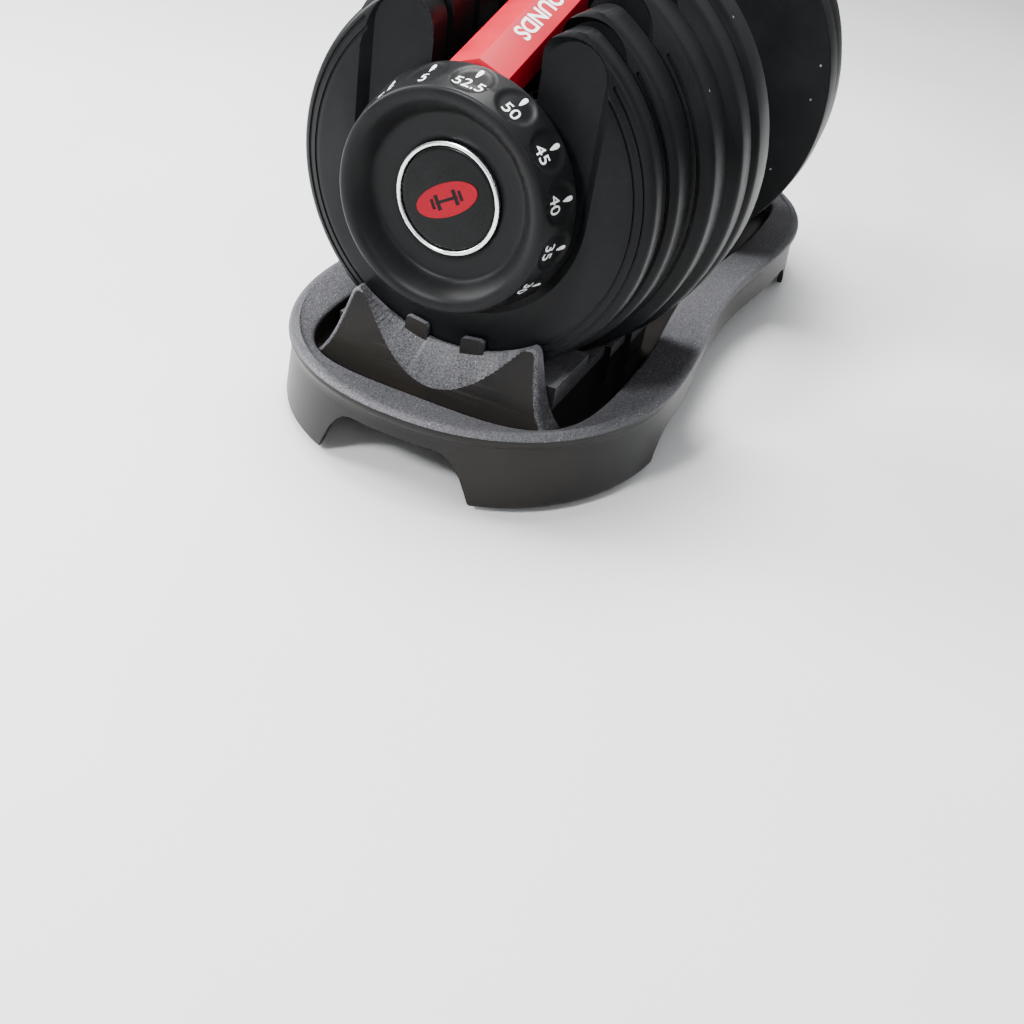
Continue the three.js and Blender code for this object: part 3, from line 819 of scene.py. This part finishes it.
class DUMBBELL_OT_dial_marks(bpy.types.Operator):
    """The numbers and pointers printed round each dial"""

    bl_idname = "dumbbell.dial_marks"
    bl_label = "Dial Numbers"

    def execute(self, context):
        sizes = context.scene.dumbbell_sizes
        numbers, pointers = [], []
        pointer = pointer_mark()
        for k, setting in enumerate(SETTINGS):
            angle = sizes.first_mark + TURN * k / len(SETTINGS)
            number = letters(setting, sizes.numeral, 0.0001)
            sliced(number, 0.001, (1, 0, 0), 0.0075)
            sliced(number, 0.0015, (0, 1, 0), 0.0035)
            wrapped(number, angle, NUMBER_REACH, sizes)
            numbers.append(number)
            mark = pointer.copy()
            mark.data = pointer.data.copy()
            context.scene.collection.objects.link(mark)
            wrapped(mark, angle, POINTER_REACH, sizes)
            pointers.append(mark)
        bpy.data.objects.remove(pointer)
        for stem, marks in (("numbers", numbers), ("pointers", pointers)):
            place_both_ends(merged(marks), f"dial_{stem}", "{}_dial", "mark", "silver_trim")
        return {"FINISHED"}


# ---- Caps --------------------------------------------------------------------------------------

EMBLEM = {"half": 15.0, "rise": 6.8, "tilt": math.radians(31)}


def cap_body():
    profile = [(0.0, 188.95), (21.3, 188.95), (21.3, 191.0), (21.1, 191.25), (20.6, 191.45), (19.8, 191.5)]
    dome = [(19.0 * (1 - i / 12), 191.52 + 0.62 * (1 - (1 - i / 12) ** 2)) for i in range(13)]
    return turned("left_dial_cap_body", profile + dome, 120)


def ring_body():
    return turned("left_trim_ring", [
        (21.75, 190.3), (23.3, 190.3), (23.75, 190.7), (23.75, 191.6), (23.6, 192.05), (23.2, 192.32),
        (22.75, 192.4), (22.3, 192.32), (21.95, 192.05), (21.75, 191.6),
    ], 144)


def front_mark(name, outline, reach, thickness):
    """A thin raised print on the cap, from an outline of (across, up)."""
    tilt = EMBLEM["tilt"]
    turned_outline = [
        (-(a * math.cos(tilt) - b * math.sin(tilt)), a * math.sin(tilt) + b * math.cos(tilt))
        for a, b in outline]
    return slab(name, turned_outline, reach - thickness, reach)


def emblem():
    """A plain oval badge with a small dumbbell cut out of it."""
    turns = [TURN * i / 96 for i in range(96)]
    oval = [(EMBLEM["half"] * math.cos(turn), EMBLEM["rise"] * math.sin(turn)) for turn in turns]
    piece = front_mark("left_emblem", oval, 192.22, 1.0)
    bar = front_mark("bar", [(-5.5, -0.65), (5.5, -0.65), (5.5, 0.65), (-5.5, 0.65)], 194, 8)
    carve(piece, bar)
    for middle, half, rise in ((-4.4, 0.95, 3.3), (4.4, 0.95, 3.3), (-6.9, 0.8, 2.2), (6.9, 0.8, 2.2)):
        left, right = middle - half, middle + half
        corners = [(left, -rise), (right, -rise), (right, rise), (left, rise)]
        carve(piece, front_mark("weight", corners, 194, 8))
    clean(piece, 0.000002)
    return piece


class DUMBBELL_OT_caps(bpy.types.Operator):
    """The domed cap, its oval emblem and the bright ring round it, on each dial"""

    bl_idname = "dumbbell.caps"
    bl_label = "Dial Caps"

    def execute(self, context):
        for maker, finish, slot, node, stem in (
                (cap_body, "cap", "cap_plastic", "dial_cap", "cap_face"),
                (ring_body, "trim", "silver_trim", "cap_ring", "bright_ring"),
                (emblem, "emblem", "red_plastic", None, "cap_emblem")):
            left = maker()
            smooth(left, 30)
            place_both_ends(left, stem, "{}_dial", finish, slot, node)
        return {"FINISHED"}


# ---- Bridges, brackets and grip ----------------------------------------------------------------

RIDGE_SLOPE = math.radians(17.05)


class DUMBBELL_OT_bridges(bpy.types.Operator):
    """The sloping red covers over the plates' slots, with their lettering"""

    bl_idname = "dumbbell.bridges"
    bl_label = "Bridge Covers"

    def execute(self, context):
        sizes = context.scene.dumbbell_sizes
        cover = softened("left_bridge_cover", 0.0012, 14, 4)
        low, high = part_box("left_bridge_cover")
        inner_end = Vector((high.x, 0, high.z))
        along = Vector((-1, 0, -math.tan(RIDGE_SLOPE))).normalized()
        down = Vector((0, low.y, -0.005)).normalized()
        outwards = along.cross(down).normalized()
        word = letters(sizes.lettering, sizes.letter, 0.0001, 0.00022)
        middle = inner_end + along * 0.086 + down * 0.0058 + outwards * 0.00006
        turn = Matrix((along, down, outwards)).transposed().to_4x4()
        word.data.transform(Matrix.Translation(middle) @ turn)
        place_both_ends(cover, "bridge_shell", "handle", "red", "red_plastic", "bridge_cover")
        place_both_ends(word, "bridge_lettering", "handle", "mark", "silver_trim")
        return {"FINISHED"}


class DUMBBELL_OT_brackets(bpy.types.Operator):
    """Hubs, hub covers, outer brackets, washers and nuts with softened edges"""

    bl_idname = "dumbbell.brackets"
    bl_label = "Hubs and Brackets"

    def execute(self, context):
        for stem, width, finish, slot in (
                ("inner_hub", 0.0007, "nylon", "mechanism_nylon"),
                ("hub_cover", 0.0005, "nylon", "mechanism_nylon"),
                ("outer_support", 0.0005, "nylon", "mechanism_nylon"),
                ("washer", 0.0002, "steel", "zinc_steel"),
                ("end_nut", 0.0005, "steel", "zinc_steel")):
            for side in SIDES:
                node = f"{side}_{stem}"
                place(softened(node, width), "handle", finish_for(finish), slot, node)
        return {"FINISHED"}


class DUMBBELL_OT_grip(bpy.types.Operator):
    """The contoured grip with fine ribs round its middle"""

    bl_idname = "dumbbell.grip"
    bl_label = "Grip"

    def execute(self, context):
        sizes = context.scene.dumbbell_sizes
        inner, end, waist, swell = 12.8, 49.7, 14.8, 17.2 - sizes.grip_rib / MM
        steps = 264
        outer = []
        for i in range(steps + 1):
            reach = -end + 2 * end * i / steps
            share = abs(reach) / end
            radius = waist + (swell - waist) * (0.5 + 0.5 * math.cos(TURN * share))
            rib = max(math.cos(TURN * reach / 2.25), 0) * sizes.grip_rib / MM
            radius += rib if share < 0.74 else 0
            radius -= max(share - 0.965, 0) ** 2 * 1300
            outer.append((radius, reach))
        piece = turned("grip_sleeve", outer + [(inner, end), (inner, -end)], 96)
        smooth(piece, 40)
        place(piece, "handle", finish_for("grip"), "grip_rubber", "grip")
        return {"FINISHED"}


# ---- Tray --------------------------------------------------------------------------------------

TRAY = {
    "straight": 110.0, "end": 114.0, "half": 98.0, "waist": 90.0, "floor": 26.0, "quarter": 66,
}
# Squareness of the tray's round ends: of its outside, and of the recess in its top.
OUTSIDE = 2.2
RECESS = 4.0
# Sections of the shell from its foot, over the lip and rim, to the floor:
# (height, set in from the end, set in from the side, squareness of the end).
SHELL = tuple((*section, OUTSIDE) for section in (
    (3.0, 0.9, 0.9), (3.8, 0.35, 0.35), (5.0, 0.2, 0.2), (14.0, 0.8, 0.8), (24.0, 1.5, 1.5), (31.0, 1.9, 1.9),
    (34.0, 1.8, 1.8), (35.2, 1.1, 1.1), (36.4, 0.35, 0.35), (37.8, 0.0, 0.0), (39.1, 0.25, 0.25),
    (40.1, 0.95, 0.95), (40.75, 2.0, 2.0), (41.0, 3.4, 3.4), (40.95, 5.0, 4.8),
)) + (
    (40.5, 8.0, 7.4, 2.5), (39.5, 14.0, 14.2, 3.1), (38.8, 19.0, 20.0, 3.7),
) + tuple((*section, RECESS) for section in (
    (38.55, 21.4, 22.2), (38.2, 22.4, 23.1), (37.5, 23.1, 23.7), (36.4, 23.5, 24.1), (33.0, 24.0, 24.6),
    (29.5, 24.9, 25.4), (27.6, 26.2, 26.6), (26.5, 28.2, 28.4), (26.0, 31.0, 31.0),
))
UNDER = tuple((*section, OUTSIDE) for section in (
    (1.0, 3.4, 3.4), (3.0, 3.4, 3.4), (21.0, 5.0, 5.0), (22.5, 7.0, 7.0)))
# The blocks under the plates: half their width, the least width beside the round seat, how far they
# pass the plate's faces, the room under the plate, and their heights at the outer and inner plates.
CRADLE = {
    "half": 56, "beside_seat": 2.5, "play": 1.02, "clearance": 0.8, "outer_top": 51.0, "inner_top": 45.0,
}
# The dial's seat: its back and its front as first drawn, its depth at the top and how much it gains
# towards the foot, and the radius of the hollow in its top.
SADDLE = {"back": 175.6, "drawn_front": 184.0, "depth_top": 5.2, "flare": 9.4, "seat": 72.8}


def tray_outline(end_in, side_in, power):
    """One closed outline of the tray, in millimetres, set in from its ends and sides."""
    steps = TRAY["quarter"]
    quarter = []
    straight_steps = steps // 2
    for i in range(straight_steps):
        x = TRAY["straight"] * i / straight_steps
        rise = 0.5 - 0.5 * math.cos(math.pi * x / TRAY["straight"])
        quarter.append((x, TRAY["waist"] + (TRAY["half"] - TRAY["waist"]) * rise - side_in))
    reach, width = TRAY["end"] - end_in, TRAY["half"] - side_in
    for i in range(steps + 1):
        angle = math.pi / 2 * i / steps
        x = TRAY["straight"] + reach * math.sin(angle) ** (2 / power)
        y = width * max(math.cos(angle), 0) ** (2 / power)
        quarter.append((x, 0.0 if i == steps else y))
    right = quarter + [(x, -y) for x, y in reversed(quarter[:-1])]
    return right + [(-x, -y) for x, y in right[1:-1]]


def raised(name, sections):
    """A solid that climbs through star-shaped outlines of equal count, as (height, outline) in mm."""
    def bearing(x, y):
        return (math.atan2(y, x) + 0.0001) % TURN

    def shape(vertices, height, outline):
        targets = sorted(outline, key=lambda point: bearing(*point))
        for vertex, (x, y) in zip(vertices, targets):
            vertex.co = (x * MM, y * MM, height * MM)

    bpy.ops.mesh.primitive_circle_add(vertices=len(sections[0][1]), radius=0.1, fill_type="NGON")
    piece = named(bpy.context.object, name)
    shape(sorted(piece.data.vertices, key=lambda v: bearing(v.co.x, v.co.y)), *sections[0])
    edit_all(piece)
    for height, outline in sections[1:]:
        bpy.ops.mesh.extrude_region_move()
        mesh = bmesh.from_edit_mesh(piece.data)
        top = [v for v in mesh.verts if v.select]
        shape(sorted(top, key=lambda v: bearing(v.co.x, v.co.y)), height, outline)
        bmesh.update_edit_mesh(piece.data)
    end_edit()
    clean(piece)
    return piece


def shell():
    body, hollow = (
        raised(name, [(height, tray_outline(*inset)) for height, *inset in sections])
        for name, sections in (("tray_shell", SHELL), ("hollow", UNDER)))
    carve(body, hollow)
    return body


def below_axis(pairs):
    """Outline points given as (y, height above the ground), made relative to the handle axis."""
    return [(y, z - AXIS_Z / MM) for y, z in pairs]


def cradle_blocks():
    """A stepped block with a round seat under each plate, and thin dividers between the plates."""
    blocks = []
    floor = TRAY["floor"] - 0.6
    for letter in "abcde":
        low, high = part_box(f"left_plate_{letter}")
        near, far = -high.x / MM - CRADLE["play"], -low.x / MM + (0.7 if letter == "a" else CRADLE["play"])
        radius = (high.y - low.y) / 2 / MM + CRADLE["clearance"]
        top = CRADLE["outer_top" if letter in "ab" else "inner_top"]
        drop = AXIS_Z / MM - top
        edge = math.sqrt(radius ** 2 - drop ** 2)
        # Wider than the seat, so that the outline never crosses itself.
        half = max(CRADLE["half"], edge + CRADLE["beside_seat"])
        seat = arc(0, 0, radius, math.atan2(-drop, -edge) % TURN, math.atan2(-drop, edge) % TURN, 40)
        seat = [(y, max(z, floor + 0.3 - AXIS_Z / MM)) for y, z in reversed(seat)]
        outline = below_axis([(half, floor), (half, top)]) + seat + below_axis([(-half, top), (-half, floor)])
        blocks.append(slab("seat", outline, near, far))
        if letter != "e":
            wall = below_axis(symmetric([(40, floor), (34, 58.5), (32.5, 60)]))
            blocks.append(slab("divider", wall, near - 0.6, near + 0.6))
    return blocks


def saddle_block():
    """The dial's seat: flared flanks, two rounded horns, a round hollow and a crescent-shaped face."""
    right = [(68, 23.2), (68, 29.4), (65, 30.4), (61.4, 32.8), (57.6, 37), (54.9, 41.6), (52.4, 47.6),
             (50.2, 54.5), (48.4, 61.5), (47.4, 65.5), (46.6, 67.6), (45.2, 68.9), (43.4, 69.2), (42.0, 69.0)]
    piece = slab("saddle", below_axis(right + flipped(right)), SADDLE["back"], SADDLE["drawn_front"])
    start_edit(piece)
    choose(piece, "edges", lambda e: all(v.co.x < -0.1839 and v.co.z > 0.0295 for v in e.verts))
    bpy.ops.mesh.bevel(offset=0.0020, segments=7, profile=0.5, affect="EDGES")
    end_edit()
    for vertex in piece.data.vertices:
        share = min(max((0.069 - vertex.co.z) / 0.037, 0), 1)
        depth = (-vertex.co.x / MM - SADDLE["back"]) / (SADDLE["drawn_front"] - SADDLE["back"])
        vertex.co.x = -(SADDLE["back"] + depth * (SADDLE["depth_top"] + SADDLE["flare"] * share)) * MM
    triangulate(piece)

    def closed(curve):
        return curve + [(curve[-1][0] + 3, 6), (curve[0][0] - 3, 6)]

    # The crescent starts inside the hollow, so that the two surfaces never coincide.
    seat = arc(0, 0, SADDLE["seat"] - 0.8, math.radians(234.6), math.radians(305.4), 40)
    lower = arc(0, 80.5 - AXIS_Z / MM, 43.5, math.radians(195.3), math.radians(344.7), 40)
    wide = arc(0, 0, SADDLE["seat"], math.radians(226), math.radians(314), 60)
    carve(piece, slab("hollow", closed(wide), 174, 200))
    ahead = [(2 * b[0] - a[0], 2 * b[1] - a[1]) for a, b in zip(seat, lower)]
    dish = prism("crescent", closed(seat), 176.6, closed(ahead), 201.4)
    triangulate(dish)
    carve(piece, dish)
    clean(piece, 0.000004)
    return piece


def saddle_tabs():
    tabs = []
    for sign in (-1, 1):
        outline = [(8.6, -77.0), (8.6, -67.2), (9.6, -66.0), (18.0, -64.8), (19.6, -65.4), (20.2, -73.0),
                   (20.2, -77.0)]
        tabs.append(slab("tab", [(sign * y, z) for y, z in outline], 175.7, 178.4))
    return tabs


def arch_cutters():
    end = below_axis(symmetric([(40, 1), (36.5, 10), (33.5, 17), (29.5, 23), (25.5, 26.6), (21, 28)]))
    wide = below_axis(symmetric([(132, 1), (129, 8), (124, 14), (118, 17.8), (111, 19)]))
    cutters = []
    for side in SIDES:
        cutter = slab("end_arch", end, 198, 230)
        if side == "right":
            cutter.data.transform(Matrix.Rotation(math.pi, 4, "Z"))
        cutters.append(cutter)
    for sign in (-1, 1):
        cutter = slab("side_arch", wide, 66, 105)
        cutter.data.transform(Matrix.Rotation(sign * math.pi / 2, 4, "Z"))
        cutters.append(cutter)
    return cutters


def foot_bosses():
    bosses = []
    for sx in (-1, 1):
        for sy in (-1, 1):
            bpy.ops.mesh.primitive_cylinder_add(
                vertices=64, radius=0.014, depth=0.0205, location=(sx * 0.178, sy * 0.058, 0.003 + 0.01025))
            boss = bpy.context.object
            bpy.ops.object.transform_apply(location=True)
            bosses.append(boss)
    return bosses


class DUMBBELL_OT_tray(bpy.types.Operator):
    """The storage tray: lipped shell, recess, plate cradles, dial seats and leg arches"""

    bl_idname = "dumbbell.tray"
    bl_label = "Tray"

    def execute(self, context):
        tray = shell()
        for cutter in arch_cutters():
            carve(tray, cutter)
        for boss in foot_bosses():
            carve(tray, boss, "UNION")
        inside = cradle_blocks() + [saddle_block()] + saddle_tabs()
        left = inside[0]
        for block in inside[1:]:
            carve(left, block, "UNION")
        rounded(left, 0.0006, 34, 2)
        right = as_other_end(left, "cradle_right")
        for cradle in (left, right):
            carve(tray, cradle, "UNION")
        clean(tray, 0.000004)
        smooth(tray, 34)
        apply_modifier(tray, "WEIGHTED_NORMAL", keep_sharp=True)
        place(tray, "base", finish_for("tray"), "tray_plastic", "tray")
        return {"FINISHED"}


class DUMBBELL_OT_feet(bpy.types.Operator):
    """Four rubber feet with a rounded edge and a sunk middle"""

    bl_idname = "dumbbell.feet"
    bl_label = "Feet"

    def execute(self, context):
        for side in SIDES:
            for end in ("front", "rear"):
                node = f"{side}_{end}_foot"
                low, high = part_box(node)
                middle = (low + high) / 2
                bpy.ops.mesh.primitive_cylinder_add(
                    vertices=64, radius=(high.x - low.x) / 2, depth=high.z - low.z, location=middle)
                foot = named(bpy.context.object, f"{side}_{end}_rubber_foot")
                bpy.ops.object.transform_apply(location=True)
                start_edit(foot)
                choose(foot, "faces", lambda f: f.normal.z < -0.9)
                bpy.ops.mesh.inset(thickness=0.0035)
                bpy.ops.transform.translate(value=(0, 0, 0.0007))
                end_edit()
                rounded(foot, 0.0004, 25, 3)
                smooth(foot, 30)
                place(foot, "base", finish_for("foot"), "foot_rubber", node)
        return {"FINISHED"}


class DUMBBELL_OT_posts(bpy.types.Operator):
    """The posts in the tray that free the lock when the dumbbell is set down"""

    bl_idname = "dumbbell.posts"
    bl_label = "Release Posts"

    def execute(self, context):
        for side in SIDES:
            node = f"{side}_release_post"
            place(softened(node, 0.0005, 50), "base", finish_for("nylon"), "tray_plastic", node)
        return {"FINISHED"}


class DUMBBELL_OT_mechanism(bpy.types.Operator):
    """Finishes for the working parts that keep the frame's own shape"""

    bl_idname = "dumbbell.mechanism"
    bl_label = "Working Parts"

    def execute(self, context):
        finishes = {"tie_shaft": "steel", "handle_tube": "steel"}
        for side in SIDES:
            for stem, finish in (
                    ("selector_sleeve", "nylon"), ("lock_slider", "steel"), ("lock_spring", "steel")):
                finishes[f"{side}_{stem}"] = finish
            for letter in "abcde":
                finishes[f"{side}_selector_drum_{letter}"] = "nylon"
        for node, finish in finishes.items():
            NODES[node].data.materials.clear()
            NODES[node].data.materials.append(finish_for(finish))
        return {"FINISHED"}


# ---- Stage -------------------------------------------------------------------------------------


def soft_light(name, place_at, aim, size, power):
    bpy.ops.object.light_add(type="AREA", location=place_at)
    light = bpy.context.object
    light.name = name
    light.data.shape = "RECTANGLE"
    light.data.size, light.data.size_y = size
    light.data.energy = power
    light.rotation_euler = (Vector(aim) - Vector(place_at)).to_track_quat("-Z", "Y").to_euler()


class DUMBBELL_OT_stage(bpy.types.Operator):
    """Pale floor, soft lights, pale surroundings and the camera"""

    bl_idname = "dumbbell.stage"
    bl_label = "Studio"

    def execute(self, context):
        bpy.ops.mesh.primitive_plane_add(size=12, location=(0, 0, -0.0002))
        floor = named(bpy.context.object, "studio_floor")
        bpy.ops.object.transform_apply(location=True, scale=True)
        floor.data.materials.append(finish_for("floor"))

        soft_light("overhead", (0.15, 0.25, 1.35), (-0.05, 0, 0.05), (0.6, 0.6), 52)
        soft_light("left_strip", (-0.35, 1.15, 0.75), (-0.1, 0, 0.1), (0.5, 0.9), 40)
        soft_light("front_fill", (-1.25, -0.75, 0.85), (-0.15, 0, 0.1), (0.5, 0.5), 4)
        soft_light("flash", (-0.98, 0.30, 0.80), (-0.15, 0, 0.12), (0.16, 0.16), 17)

        world = context.scene.world or bpy.data.worlds.new("pale_room")
        context.scene.world = world
        world.use_nodes = True
        nodes, links = world.node_tree.nodes, world.node_tree.links
        direction = nodes.new("ShaderNodeTexCoord").outputs["Generated"]
        height = nodes.new("ShaderNodeSeparateXYZ")
        links.new(direction, height.inputs[0])
        fade = nodes.new("ShaderNodeValToRGB")
        fade.color_ramp.elements[0].position = 0.05
        fade.color_ramp.elements[0].color = (0.16, 0.165, 0.17, 1)
        fade.color_ramp.elements[1].position = 0.62
        fade.color_ramp.elements[1].color = (0.97, 0.98, 1.0, 1)
        links.new(height.outputs[2], fade.inputs[0])
        sky = nodes["Background"]
        links.new(fade.outputs[0], sky.inputs["Color"])
        sky.inputs["Strength"].default_value = 0.85

        bpy.ops.object.camera_add()
        camera = context.object
        camera.name = "camera"
        right = Vector((0.4204, -0.8958, 0.1444))
        up = Vector((0.4865, 0.3568, 0.7975))
        back = Vector((-0.7659, -0.2650, 0.5858))
        turn = Matrix((right, up, back)).transposed().to_4x4()
        camera.matrix_world = Matrix.Translation((-0.6111, -0.1969, 0.3111)) @ turn
        camera.data.lens = 41.29
        camera.data.sensor_width = 36
        camera.data.clip_start = 0.01
        context.scene.camera = camera
        return {"FINISHED"}


# ---- Panel and running -------------------------------------------------------------------------

OPERATORS = (
    DUMBBELL_OT_plates, DUMBBELL_OT_dials, DUMBBELL_OT_dial_marks, DUMBBELL_OT_caps, DUMBBELL_OT_bridges,
    DUMBBELL_OT_brackets, DUMBBELL_OT_grip, DUMBBELL_OT_tray, DUMBBELL_OT_feet, DUMBBELL_OT_posts,
    DUMBBELL_OT_mechanism, DUMBBELL_OT_stage,
)


class DUMBBELL_PT_panel(bpy.types.Panel):
    """Lists the pieces of the dumbbell"""

    bl_label = "Adjustable Dumbbell"
    bl_idname = "DUMBBELL_PT_panel"
    bl_space_type = "VIEW_3D"
    bl_region_type = "UI"
    bl_category = "Dumbbell"

    def draw(self, context):
        for operator in OPERATORS:
            self.layout.operator(operator.bl_idname)
        for group in (context.scene.dumbbell_sizes, context.scene.dumbbell_colours):
            box = self.layout.box()
            for name in group.__annotations__:
                box.prop(group, name)


CLASSES = (DumbbellSizes, DumbbellColours) + OPERATORS + (DUMBBELL_PT_panel,)


def register():
    for made in CLASSES:
        bpy.utils.register_class(made)
    bpy.types.Scene.dumbbell_sizes = PointerProperty(type=DumbbellSizes)
    bpy.types.Scene.dumbbell_colours = PointerProperty(type=DumbbellColours)


def unregister():
    del bpy.types.Scene.dumbbell_colours
    del bpy.types.Scene.dumbbell_sizes
    for made in reversed(CLASSES):
        bpy.utils.unregister_class(made)


def main():
    register()
    for operator in OPERATORS:
        group, name = operator.bl_idname.split(".")
        getattr(getattr(bpy.ops, group), name)()


if __name__ == "__main__":
    main()
